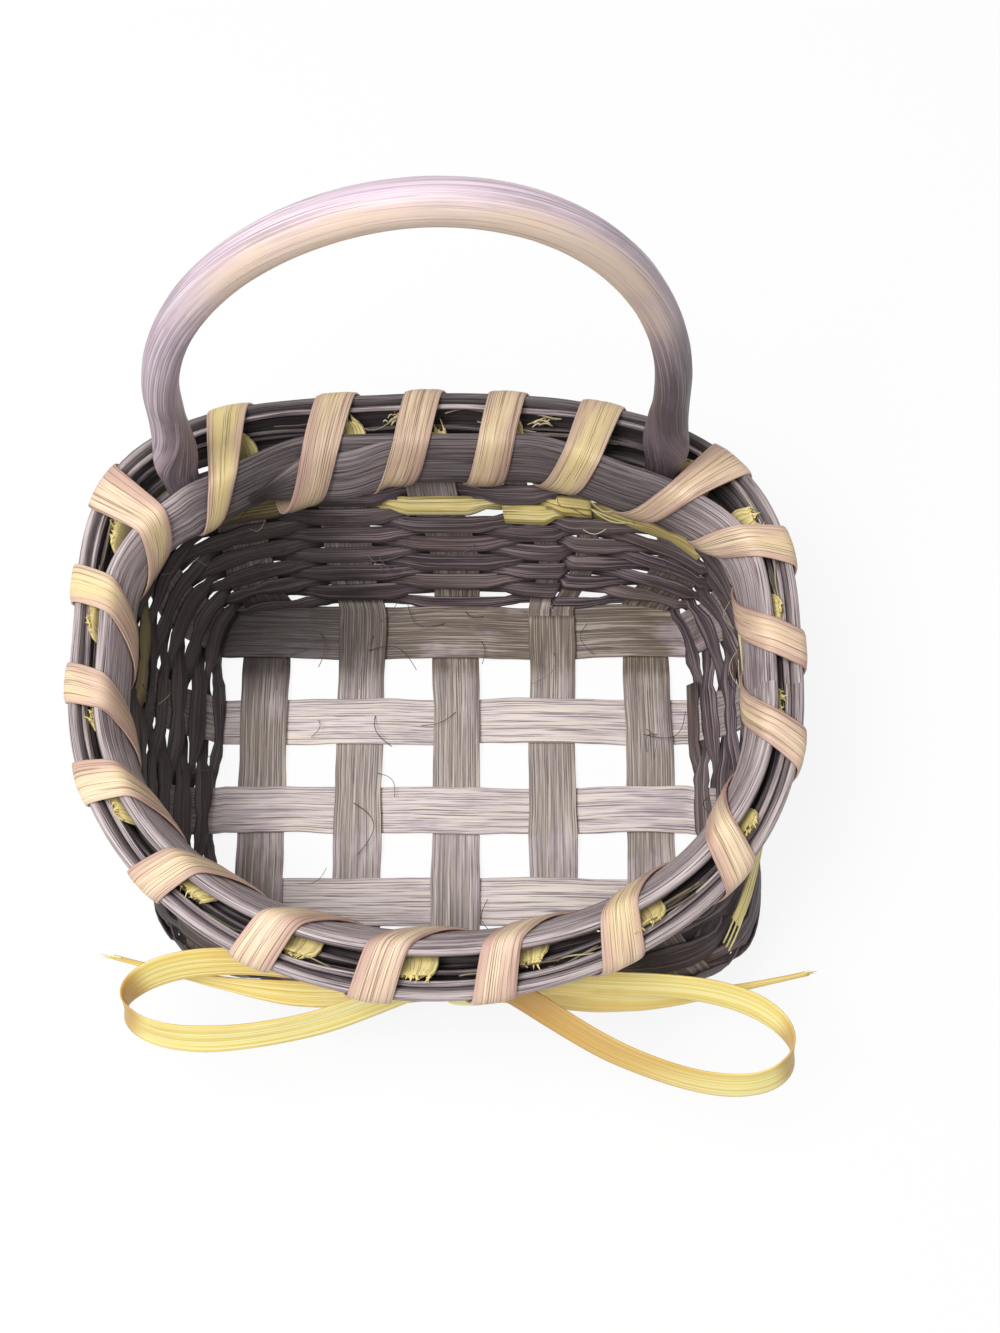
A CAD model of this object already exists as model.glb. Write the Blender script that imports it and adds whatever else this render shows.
"""A small basket of dyed flat reed, dressed over its solids.

Sizes are in millimetres in the part's own coordinates until a mesh is made.
"""

import logging
import math
from dataclasses import dataclass, field
from enum import Enum
from functools import cache

import bpy
import numpy as np
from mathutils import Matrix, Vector


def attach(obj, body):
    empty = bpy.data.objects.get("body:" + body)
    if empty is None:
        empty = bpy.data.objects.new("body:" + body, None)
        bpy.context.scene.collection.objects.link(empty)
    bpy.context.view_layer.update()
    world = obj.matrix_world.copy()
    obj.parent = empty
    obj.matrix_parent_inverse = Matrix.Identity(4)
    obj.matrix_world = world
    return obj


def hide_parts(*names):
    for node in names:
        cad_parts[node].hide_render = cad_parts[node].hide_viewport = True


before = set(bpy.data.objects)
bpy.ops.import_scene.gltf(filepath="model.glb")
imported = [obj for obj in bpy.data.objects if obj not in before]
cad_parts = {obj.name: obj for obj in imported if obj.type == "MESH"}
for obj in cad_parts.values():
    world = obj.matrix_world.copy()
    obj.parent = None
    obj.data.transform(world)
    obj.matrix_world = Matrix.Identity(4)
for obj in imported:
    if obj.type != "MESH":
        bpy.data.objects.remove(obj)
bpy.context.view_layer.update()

Grid = np.ndarray
Value = Grid | float
Pair = tuple[float, float]
Corners = tuple[float, float, float, float]
Tree = bpy.types.NodeTree
Socket = bpy.types.NodeSocket

LOG = logging.getLogger("basket")
BODY = "root"
CENTRING = np.array([2.4365, 6.1836, 0.0])
MM_PER_M = 1000.0
NUDGE = 0.05
REED_GAP = 0.3
STAKE_WIDTH = 12.7
STAKE_THICKNESS = 1.2
SHARES = ("worn", "shade", "tint")
ACROSS = np.array([-1.0, -0.94, -0.75, -0.45, -0.15, 0.15, 0.45, 0.75, 0.94, 1.0])
NARROW = np.array([-1.0, -0.85, -0.4, 0.0, 0.4, 0.85, 1.0])
UP = np.array([0.0, 0.0, 1.0])
DIRT = "#271d1e"
WHITE = (1.0, 1.0, 1.0, 1.0)


class Side(Enum):
    """Which side of the wall a rim is on."""

    INSIDE = -1
    OUTSIDE = 1


class Lay(Enum):
    """Which way a base stake runs: front to back or left to right."""

    LONG = "long"
    CROSS = "cross"


def ease(value: Value, start: float, end: float) -> Grid:
    """Smooth step from 0 at the start to 1 at the end."""
    t = np.clip((np.asarray(value, float) - start) / (end - start), 0.0, 1.0)
    return t * t * (3.0 - 2.0 * t)


def bump(value: Value, start: float, end: float, soft: float) -> Grid:
    """Smooth hill that is 1 between two values, with slopes of one length outside them."""
    return ease(value, start - soft, start) * (1.0 - ease(value, end, end + soft))


def ripple(at: Value, seed: float, pitch: float) -> Grid:
    """Smooth unevenness of a hand-worked strip, the same on every run.

    Args:
        at: Distance along the strip.
        seed: Number that tells one strip from another.
        pitch: Distance between the main swells.

    Returns:
        Values from about -1 to 1.
    """
    x = np.asarray(at, float) * (2.0 * math.pi / pitch)
    parts = ((1.0, 0.5), (1.71, 0.3), (2.93, 0.2), (0.37, 0.35))
    return sum(a * np.sin(f * x + 7.13 * seed * (k + 1.3)) for k, (f, a) in enumerate(parts))


def relaxed(rows: Grid, passes: int) -> Grid:
    """Rows with their corners rounded off along the first axis.

    Args:
        rows: Rows of points.
        passes: How often they are averaged with their neighbours.

    Returns:
        The softened rows.
    """
    for _ in range(passes):
        rows = np.concatenate([rows[:1], (rows[:-2] + 2.0 * rows[1:-1] + rows[2:]) / 4.0, rows[-1:]])
    return rows


def turn_between(a: Value, b: Value) -> Grid:
    """Signed difference of two angles in degrees, within half a turn."""
    return np.mod(np.asarray(a) - b + 180.0, 360.0) - 180.0


def unit(vectors: Grid) -> Grid:
    """Vectors of length one along the last axis."""
    return vectors / np.maximum(np.linalg.norm(vectors, axis=-1, keepdims=True), 1e-9)


def matched(*values: Value) -> list[Grid]:
    """Values as arrays of numbers of one shape."""
    return list(np.broadcast_arrays(*(np.asarray(value, float) for value in values)))


def plan_way(heading: float) -> Grid:
    """Unit vector in plan at an angle in radians."""
    return np.array([math.cos(heading), math.sin(heading), 0.0])


def cubic(t: Grid, a: Grid, a_slope: Grid, b: Grid, b_slope: Grid, span: Value) -> Grid:
    """Cubic that leaves one point and reaches another at given slopes.

    Args:
        t: Shares of the way, from 0 to 1.
        a: Start.
        a_slope: Slope there.
        b: End.
        b_slope: Slope there.
        span: Length of the way.

    Returns:
        Its points.
    """
    return (
        a * (2 * t**3 - 3 * t**2 + 1) + a_slope * (t**3 - 2 * t**2 + t) * span
        + b * (3 * t**2 - 2 * t**3) + b_slope * (t**3 - t**2) * span
    )


def smoothed(keys: Grid, count: int) -> Grid:
    """Even rows of a smooth curve through key rows.

    Args:
        keys: Rows of numbers that the curve passes through, the point in space first.
        count: How many rows to give back.

    Returns:
        The rows of the curve.
    """
    step = np.maximum(np.linalg.norm(np.diff(keys[:, :3], axis=0), axis=1), 1e-6)
    knots = np.concatenate([[0.0], np.cumsum(step)])
    slope = np.gradient(keys, knots, axis=0)
    at = np.linspace(0.0, knots[-1], count)
    i = np.clip(np.searchsorted(knots, at, side="right") - 1, 0, len(knots) - 2)
    span = (knots[i + 1] - knots[i])[:, None]
    return cubic((at - knots[i])[:, None] / span, keys[i], slope[i], keys[i + 1], slope[i + 1], span)


@dataclass(frozen=True)
class Wall:
    """Middle surface of the woven wall, from the base fold to the rim line.

    Corner values run rear right, rear left, front left, front right. Side values
    run right, rear, left, front.
    """

    base_middle: float = 1.35
    base_half: Pair = (64.0, 46.6)
    base_square: Corners = (9.0, 9.0, 9.0, 9.0)
    belly_height: float = 24.0
    belly_half: Pair = (76.5, 58.8)
    belly_shift: Pair = (0.3, -4.6)
    belly_square: Corners = (4.2, 4.6, 4.6, 6.5)
    rim_height: float = 58.0
    rim_half: Pair = (80.8, 64.4)
    rim_shift: Pair = (-3.4, 1.2)
    rim_square: Corners = (3.5, 4.6, 2.05, 2.15)
    rim_lean: Corners = (17.0, 22.0, 17.0, 25.0)
    ruled_from: float = 58.0 - 9.4 * math.cos(math.radians(22.0))

    def by_side(self, values: Corners, angle: Grid) -> Grid:
        """Blends one value for each side.

        Args:
            values: Value on each side.
            angle: Directions in radians.

        Returns:
            The value at each direction.
        """
        c, s = np.cos(angle), np.sin(angle)
        along = np.where(c >= 0, values[0], values[2])
        across = np.where(s >= 0, values[1], values[3])
        return along * c * c + across * s * s

    def outline(self, angle: Grid, half: Pair, square: Corners, shift: Pair = (0.0, 0.0)) -> Grid:
        """Rounded rectangle seen from its centre.

        Args:
            angle: Directions in radians.
            half: Half of the length and half of the depth.
            square: Squareness of each corner.
            shift: Where its centre lies.

        Returns:
            Points in plan.
        """
        c, s = np.cos(angle), np.sin(angle)
        rear = np.where(c >= 0, square[0], square[1])
        front = np.where(c >= 0, square[3], square[2])
        n = np.where(s >= 0, rear, front)
        radius = ((np.abs(c) / half[0]) ** n + (np.abs(s) / half[1]) ** n) ** (-1.0 / n)
        return np.stack([radius * c, radius * s], -1) + np.array(shift)

    def rim_plan(self, angle: Grid) -> Grid:
        """Rim line in plan at angles in radians."""
        return self.outline(angle, self.rim_half, self.rim_square, self.rim_shift)

    def points(self, degrees: Value, height: Value) -> Grid:
        """Points of the wall's middle surface.

        Args:
            degrees: Directions round the wall.
            height: Heights above the table.

        Returns:
            Points in space.
        """
        degrees, height = matched(degrees, height)
        height, angle = height[..., None], np.radians(degrees)
        run = self.rim_plan(angle + 1e-3) - self.rim_plan(angle - 1e-3)
        flare = np.tan(np.radians(self.by_side(self.rim_lean, angle)))[..., None]
        flare = unit(np.stack([run[..., 1], -run[..., 0]], -1)) * flare
        base = self.outline(angle, self.base_half, self.base_square)
        belly = self.outline(angle, self.belly_half, self.belly_square, self.belly_shift)
        rim = self.rim_plan(angle)
        top = rim - flare * (self.rim_height - self.ruled_from)
        slope = (top - base) / (self.ruled_from - self.base_middle)
        low, high = self.belly_height - self.base_middle, self.ruled_from - self.belly_height
        lower = cubic((height - self.base_middle) / low, base, (belly - base) / low, belly, slope, low)
        upper = cubic((height - self.belly_height) / high, belly, slope, top, flare, high)
        plan = np.where(height < self.belly_height, lower, upper)
        plan = np.where(height >= self.ruled_from, rim + flare * (height - self.rim_height), plan)
        return np.concatenate([plan, height], -1)

    def frames(self, degrees: Value, height: Value) -> tuple[Grid, Grid, Grid]:
        """Unit directions at points of the wall.

        Args:
            degrees: Directions round the wall.
            height: Heights above the table.

        Returns:
            The ways round the wall, up it and out of it.
        """
        around = unit(self.points(degrees + NUDGE, height) - self.points(degrees - NUDGE, height))
        up = unit(self.points(degrees, height + NUDGE) - self.points(degrees, height - NUDGE))
        return around, up, unit(np.cross(around, up))

    def off(self, degrees: Value, height: Value, offset: Value) -> Grid:
        """Points off the wall's middle surface, positive outward."""
        degrees, height, offset = matched(degrees, height, offset)
        return self.points(degrees, height) + self.frames(degrees, height)[2] * offset[..., None]

    def walk(self, degrees: Value, height: Value, distance: Value) -> Grid:
        """Angles reached by walking round the wall at one height.

        Args:
            degrees: Where the walk starts.
            height: Height of the walk.
            distance: How far to go, anticlockwise.

        Returns:
            Angles in degrees.
        """
        at, height, distance = matched(degrees, height, distance)
        steps = 6
        for _ in range(steps):
            step = self.points(at + NUDGE, height) - self.points(at - NUDGE, height)
            at = at + distance / steps / (np.linalg.norm(step, axis=-1) / (2 * NUDGE))
        return at

    def rim_frame(self, degrees: Value, out: Value, up: Value) -> Grid:
        """Points of the slanted frame that the rims lie in.

        Args:
            degrees: Directions round the rim line.
            out: Distances outside it.
            up: Distances above it, along the wall.

        Returns:
            Points in space.
        """
        degrees, out, up = matched(degrees, out, up)
        _, rise, outward = self.frames(degrees, self.rim_height)
        return self.points(degrees, self.rim_height) + outward * out[..., None] + rise * up[..., None]


@dataclass(frozen=True)
class Upright:
    """One end of a base stake, turned up into the wall."""

    lay: Lay
    stake: int
    end: int
    width: float
    base: float
    drift: float

    def angle(self, height: Value) -> Grid:
        """Angle of its middle at a height."""
        return self.base + self.drift * ease(height, Wall.base_middle, Wall.rim_height)


@dataclass(frozen=True)
class Layout:
    """Where the stakes cross the base and stand in the wall."""

    wall: Wall = Wall()
    long_stakes: int = 5
    long_pitch: float = 26.0
    cross_stakes: int = 4
    cross_pitch: float = 25.0
    split_stake: int = 3
    split_gap: float = 0.8
    drift: tuple[float, ...] = (
        -8.4, -8.2, 2.6, 10.0, 3.1, 0.0,
        -2.0, 1.5, 7.4, 3.8,
        -7.3, -11.2, -4.3, 1.5, -0.9,
        -9.1, -6.9, -1.1, 2.4,
    )

    def long_x(self, i: int) -> float:
        """Middle of a front-to-back stake."""
        return (i - (self.long_stakes - 1) / 2) * self.long_pitch

    def cross_y(self, j: int) -> float:
        """Middle of a left-to-right stake."""
        return ((self.cross_stakes - 1) / 2 - j) * self.cross_pitch

    def uprights(self) -> list[Upright]:
        """Lists every upright clockwise from the rear left.

        Returns:
            The uprights.
        """
        half_x, half_y = self.wall.base_half
        split = (STAKE_WIDTH - self.split_gap) / 2
        spots: list[tuple[Lay, int, int, float, float, float]] = []
        for i in range(self.long_stakes):
            is_split = i == self.split_stake
            aside = (split + self.split_gap) / 2
            for x, width in ((-aside, split), (aside, split)) if is_split else ((0.0, STAKE_WIDTH),):
                spots.append((Lay.LONG, i, 1, self.long_x(i) + x, half_y, width))
        for j in range(self.cross_stakes):
            spots.append((Lay.CROSS, j, 1, half_x, self.cross_y(j), STAKE_WIDTH))
        for i in reversed(range(self.long_stakes)):
            spots.append((Lay.LONG, i, -1, self.long_x(i), -half_y, STAKE_WIDTH))
        for j in reversed(range(self.cross_stakes)):
            spots.append((Lay.CROSS, j, -1, -half_x, self.cross_y(j), STAKE_WIDTH))
        return [
            Upright(lay, k, end, width, math.degrees(math.atan2(y, x)), turn)
            for (lay, k, end, x, y, width), turn in zip(spots, self.drift)
        ]

    def edges(self, upright: Upright, height: Value) -> tuple[Grid, Grid]:
        """Angles of an upright's edges at a height, the anticlockwise one first."""
        middle, half = upright.angle(height), upright.width / 2
        return self.wall.walk(middle, height, half), self.wall.walk(middle, height, -half)


def srgb(code: str) -> tuple[float, float, float, float]:
    """Linear colour of an sRGB hex value.

    Args:
        code: A value such as #c8b49a.

    Returns:
        Red, green, blue and an alpha of 1.
    """
    parts = [int(code[k : k + 2], 16) / 255.0 for k in (1, 3, 5)]
    linear = [c / 12.92 if c <= 0.04045 else ((c + 0.055) / 1.055) ** 2.4 for c in parts]
    return (linear[0], linear[1], linear[2], 1.0)


def node(
    tree: Tree, kind: str, inputs: dict[int | str, object] | None = None, output: int | str = 0,
    **settings: object,
) -> Socket | None:
    """Adds a shader node with its settings, values and links.

    Args:
        tree: Node tree that gets the node.
        kind: Blender's name of the node type, without ShaderNode.
        inputs: For each input a value to set or a socket to link.
        output: The output to give back.
        settings: Attributes of the node.

    Returns:
        The output's socket, or None if the node has none.
    """
    made = tree.nodes.new(f"ShaderNode{kind}")
    for name, value in settings.items():
        setattr(made, name, value)
    for name, value in (inputs or {}).items():
        if isinstance(value, Socket):
            tree.links.new(value, made.inputs[name])
        else:
            made.inputs[name].default_value = value
    return made.outputs[output] if made.outputs else None


@dataclass(frozen=True)
class ReedFinish:
    """Dyed rattan reed or bent ash: lengthwise fibres that took the dye unevenly.

    Colours are sRGB hex values, sizes are millimetres on the real strip. The worn,
    tinted and shaded shares come from the mesh's attributes.
    """

    name: str
    slot: str
    body: str
    grain: str
    pale: str
    stain: str
    worn: str
    tint: str
    fibre_mm: float = 0.9
    fibre_run_mm: float = 90.0
    streak_mm: float = 3.0
    streak_run_mm: float = 120.0
    blotch_mm: float = 9.0
    stain_share: float = 0.3
    pale_share: float = 0.3
    crack_share: float = 0.5
    crack_dark: float = 0.25
    groove_mm: float = 0.25
    roughness: float = 0.62
    ior: float = 1.5

    @cache
    def material(self) -> bpy.types.Material:
        """Builds the finish once.

        Returns:
            The material.
        """
        made = bpy.data.materials.new(self.name)
        made.use_nodes = True
        tree = made.node_tree
        tree.nodes.clear()

        def share(value: Socket, low: float, high: float) -> Socket:
            """Part of a value's range stretched to 0 and 1."""
            return node(tree, "MapRange", {0: value, 1: low, 2: high}, interpolation_type="SMOOTHSTEP")

        def maths(operation: str, one: Socket | float, two: Socket | float) -> Socket:
            """Result of an operation on two values."""
            return node(tree, "Math", {0: one, 1: two}, operation=operation)

        fibre = self.noise(tree, self.fibre_run_mm, self.fibre_mm)
        crack = self.noise(tree, self.fibre_run_mm * 1.3, self.fibre_mm * 0.8, 1.0, 0.5)
        streak = self.noise(tree, self.streak_run_mm, self.streak_mm)
        blotch = self.noise(tree, self.blotch_mm * 2.5, self.blotch_mm)
        worn, shade, tint = (node(tree, "Attribute", output="Fac", attribute_name=s) for s in SHARES)
        stained = share(blotch, 0.56 - 0.2 * self.stain_share, 0.7 - 0.1 * self.stain_share)
        pale = maths("MULTIPLY", maths("ADD", streak, crack), 0.5)
        pale = share(pale, 0.56 - 0.12 * self.pale_share, 0.6 - 0.1 * self.pale_share)
        pale = maths("MULTIPLY", pale, maths("SUBTRACT", 1.0, maths("MULTIPLY", tint, 0.65)))
        dark = maths("MULTIPLY", maths("ADD", fibre, maths("SUBTRACT", 1.0, crack)), 0.5)
        dark = maths("MULTIPLY", share(dark, 0.55, 0.6), self.crack_share)
        grain = srgb(self.grain)
        colour = srgb(self.body)
        for factor, over in (
            (share(fibre, 0.42, 0.58), grain),
            (tint, srgb(self.tint)),
            (maths("MULTIPLY", stained, 0.75), srgb(self.stain)),
            (maths("MULTIPLY", pale, 0.8), srgb(self.pale)),
            (worn, srgb(self.worn)),
            (dark, (*(part * self.crack_dark for part in grain[:3]), 1.0)),
            (shade, srgb(DIRT)),
        ):
            colour = node(tree, "Mix", {0: factor, 6: colour, 7: over}, 2, data_type="RGBA")
        rough = node(
            tree, "MapRange", {0: fibre, 1: 0.3, 2: 0.7, 3: self.roughness - 0.1, 4: self.roughness + 0.12}
        )
        relief = {"Strength": 0.85, "Distance": self.groove_mm / MM_PER_M}
        grooves = node(tree, "Bump", {"Height": maths("SUBTRACT", fibre, dark), **relief})
        shader = node(
            tree, "BsdfPrincipled",
            {"Base Color": colour, "Roughness": rough, "Normal": grooves, "IOR": self.ior},
        )
        node(tree, "OutputMaterial", {0: shader})
        return made

    def noise(
        self, tree: Tree, run: float, across: float, detail: float = 3.0, rough: float = 0.6
    ) -> Socket:
        """Noise drawn out along the strip.

        Args:
            tree: Node tree of the material.
            run: Length of one feature in millimetres.
            across: Width of one feature in millimetres.
            detail: How many finer layers it has.
            rough: How strong the finer layers are.

        Returns:
            The value of the noise.
        """
        strip = node(tree, "UVMap", uv_map="strip")
        place = node(tree, "Mapping", {0: strip, "Scale": (MM_PER_M / run, MM_PER_M / across, 1.0)})
        return node(
            tree, "TexNoise", {"Vector": place, "Scale": 1.0, "Detail": detail, "Roughness": rough}
        )


# Half-inch flat reed, dyed lilac-grey: the dye sits in the grooves and the ridges
# stay cream, so the strips read as fine cream and plum lines. The rear took an
# olive brown, and the cut tips kept the yellow of the bare cane.
STAKE_REED = ReedFinish(
    "rattan_flat_reed_dyed_lilac_grey", "stake_reed", body="#e4d8d6", grain="#c2b3b6",
    pale="#efe2d2", stain="#b7a7ae", worn="#f3df94", tint="#6b5d4f", fibre_mm=0.4,
    fibre_run_mm=24.0, streak_mm=1.1, streak_run_mm=34.0, stain_share=0.35, crack_share=0.62,
)
# Narrow reed dyed dark plum brown, matt with broken fibres that catch the light.
DARK_REED = ReedFinish(
    "rattan_narrow_reed_dyed_plum_brown", "dark_reed", body="#605156", grain="#3a2e34",
    pale="#9c8b90", stain="#2f2529", worn="#9a8a82", tint="#6d5c53", fibre_mm=0.45,
    fibre_run_mm=40.0, streak_mm=1.2, streak_run_mm=50.0, pale_share=0.35,
    stain_share=0.35, roughness=0.56,
)
# Narrow reed dyed mustard, its fibres paler where the dye is thin.
ACCENT_REED = ReedFinish(
    "rattan_narrow_reed_dyed_mustard", "accent_reed", body="#f2db88", grain="#d2b765",
    pale="#fff4bc", stain="#a08a48", worn="#efe3a4", tint="#bda45e", fibre_mm=0.5,
    fibre_run_mm=45.0, streak_mm=1.4, streak_run_mm=60.0, pale_share=0.45, stain_share=0.2,
)
# Flat-oval rim reed: fine lengthwise ribs, lilac-grey with paler crowns.
RIM_REED = ReedFinish(
    "rattan_flat_oval_reed_dyed_lilac_grey", "rim_reed", body="#d2c1c4", grain="#94848a",
    pale="#e9dcd6", stain="#77676c", worn="#cfc0bc", tint="#483b3f", fibre_mm=0.34,
    fibre_run_mm=26.0, streak_mm=0.9, streak_run_mm=34.0, stain_share=0.4,
    crack_share=0.9, groove_mm=0.3, roughness=0.58,
)
# Undyed flat reed of the lashing: tan to cream with fine grooves and pinkish edges.
LASHING_REED = ReedFinish(
    "rattan_flat_reed_tan_lashing", "lashing_reed", body="#f6dcc0", grain="#d8b59b",
    pale="#fae8c2", stain="#d9b4a3", worn="#bc948a", tint="#f2da92", fibre_mm=0.38,
    fibre_run_mm=30.0, streak_mm=1.1, streak_run_mm=40.0, blotch_mm=12.0,
    pale_share=0.25, stain_share=0.6, crack_share=0.6, groove_mm=0.18, roughness=0.54,
)
# Steam-bent ash, dyed pink-lilac and worn to tan inside the bend: satin, close grain.
HANDLE_WOOD = ReedFinish(
    "steam_bent_ash_dyed_pink_lilac", "handle_wood", body="#d5c0cd", grain="#c2adbb",
    pale="#e7d8de", stain="#ac99a5", worn="#e6cdb4", tint="#58494d", fibre_mm=0.45,
    fibre_run_mm=34.0, streak_mm=1.3, streak_run_mm=48.0, pale_share=0.28,
    stain_share=0.4, crack_share=0.3, groove_mm=0.1, roughness=0.5,
)
# Flat reed dyed lemon: the bow, satin with long parallel lines.
BOW_REED = ReedFinish(
    "rattan_flat_reed_dyed_lemon", "bow_reed", body="#fcec96", grain="#f1da78",
    pale="#fff8bb", stain="#ebcb72", worn="#c4954a", tint="#dcb35a", fibre_mm=0.6,
    fibre_run_mm=80.0, streak_mm=1.8, streak_run_mm=110.0, pale_share=0.45,
    stain_share=0.15, crack_share=0.15, groove_mm=0.1, roughness=0.46,
)
# Loose fibres that spring off cut and bent reed: pale inner cane.
PALE_FIBRE = ReedFinish(
    "rattan_core_fibre_pale", "stake_reed", body="#e8d9a6", grain="#c3ad83", pale="#f5ecca",
    stain="#a8967f", worn="#efe2c8", tint="#cbb6a8", fibre_mm=0.5,
)


class Mesh:
    """Collects swept surfaces in millimetres and makes one piece of them."""

    def __init__(self, name: str) -> None:
        """Starts an empty piece.

        Args:
            name: Name of the piece.
        """
        self.name = name
        self.points: list[Grid] = []
        self.faces: list[tuple[int, ...]] = []
        self.strip: list[Pair] = []
        self.shares: dict[str, list[Grid]] = {share: [] for share in SHARES}
        self.count = 0

    def sweep(self, rings: Grid, closed: bool = False, **shares: Value) -> None:
        """Adds a surface through rings of points.

        Args:
            rings: Rings in order along the strip, each the same number of points.
            closed: Whether the last ring meets the first.
            shares: Shares of wear, dirt and tint at each point.
        """
        n, k, _ = rings.shape
        along = np.linalg.norm(np.diff(rings.mean(axis=1), axis=0), axis=1)
        u = np.concatenate([[0.0], np.cumsum(along)]) / MM_PER_M
        ends = np.append(u, u[-1] + np.linalg.norm(rings[0].mean(0) - rings[-1].mean(0)) / MM_PER_M)
        around = np.linalg.norm(np.roll(rings, -1, axis=1) - rings, axis=2).mean(axis=0)
        v = np.concatenate([[0.0], np.cumsum(around)]) / MM_PER_M
        shift = 0.37 * (len(self.points) + 1) + 0.013 * len(self.name)
        start = self.count
        self.points.append(rings.reshape(-1, 3))
        for name, held in self.shares.items():
            held.append(np.broadcast_to(np.asarray(shares.get(name, 0.0), float), (n, k)).reshape(-1))
        for i in range(n if closed else n - 1):
            a, b = start + i * k, start + ((i + 1) % n) * k
            for j in range(k):
                m = (j + 1) % k
                self.faces.append((a + j, a + m, b + m, b + j))
                low, high = (ends[i] + shift, v[j]), (ends[i + 1] + shift, v[j + 1])
                self.strip += [low, (low[0], high[1]), high, (high[0], low[1])]
        for row, way in () if closed else ((0, -1), (n - 1, 1)):
            self.faces.append(tuple(start + row * k + j for j in range(k))[::way])
            self.strip += [(u[row] + shift, v[j]) for j in range(k)][::way]
        self.count += n * k

    def ribbon(
        self, middle: Grid, normal: Grid, thickness: float, side: Grid, closed: bool = False,
        **shares: Value,
    ) -> None:
        """Adds a flat strip with softly rounded edges.

        Args:
            middle: Points of the strip's middle surface, along and across.
            normal: Unit normals there.
            thickness: Thickness of the strip.
            side: Places across from -1 to 1, for the rounding.
            closed: Whether the strip meets itself.
            shares: Shares of wear, dirt and tint along and across.
        """
        half = thickness / 2 * np.sqrt(np.maximum(1.0 - 0.8 * np.abs(side) ** 6, 0.0))
        lift = normal * half[None, :, None]
        both = {name: np.broadcast_to(share, middle.shape[:2]) for name, share in shares.items()}
        both = {name: np.concatenate([share, share[:, ::-1]], axis=1) for name, share in both.items()}
        self.sweep(np.concatenate([middle + lift, (middle - lift)[:, ::-1]], axis=1), closed, **both)

    def thread(
        self, path: Grid, radius: Value, sides: int = 5, closed: bool = False, **shares: Value
    ) -> None:
        """Adds a thin round fibre along a path.

        Args:
            path: Points of the fibre's middle.
            radius: Radius along it.
            sides: Sides of its section.
            closed: Whether it meets itself.
            shares: Shares of wear, dirt and tint.
        """
        if closed:
            ahead = unit(np.roll(path, -1, axis=0) - np.roll(path, 1, axis=0))
        else:
            ahead = unit(np.gradient(path, axis=0))
        one = unit(np.cross(ahead, np.where(np.abs(ahead[:, 2:]) > 0.8, [[1.0, 0.0, 0.0]], UP)))
        two = np.cross(ahead, one)
        angle = (np.arange(sides) * 2 * math.pi / sides)[None, :, None]
        size = np.broadcast_to(np.asarray(radius, float), len(path))[:, None, None]
        ring = one[:, None] * np.cos(angle) + two[:, None] * np.sin(angle)
        self.sweep(path[:, None] + size * ring, closed, **shares)

    def build(self, finish: ReedFinish, *solids: str) -> None:
        """Makes the piece and lets it ride on the basket.

        Args:
            finish: Finish of the piece.
            solids: Solids that the piece stands for.
        """
        mesh = bpy.data.meshes.new(self.name)
        mesh.from_pydata(((np.concatenate(self.points) + CENTRING) / MM_PER_M).tolist(), [], self.faces)
        mesh.uv_layers.new(name="strip").data.foreach_set("uv", np.asarray(self.strip, float).reshape(-1))
        for name, held in self.shares.items():
            mesh.attributes.new(name, "FLOAT", "POINT").data.foreach_set("value", np.concatenate(held))
        mesh.polygons.foreach_set("use_smooth", np.ones(len(mesh.polygons), bool))
        mesh.update()
        self.face_out(mesh)
        mesh.materials.append(finish.material())
        piece = bpy.data.objects.new(self.name, mesh)
        bpy.context.scene.collection.objects.link(piece)
        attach(piece, BODY)
        if solids:
            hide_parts(*solids)
        LOG.info("%s: %d faces", self.name, len(mesh.polygons))

    def face_out(self, mesh: bpy.types.Mesh) -> None:
        """Turns all faces over if they point into the piece.

        Args:
            mesh: Mesh of the piece.
        """
        volume = 0.0
        for face in mesh.polygons:
            first, *rest = (mesh.vertices[i].co for i in face.vertices)
            volume += sum(first.dot(a.cross(b)) for a, b in zip(rest, rest[1:]))
        if volume < 0:
            mesh.flip_normals()


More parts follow.
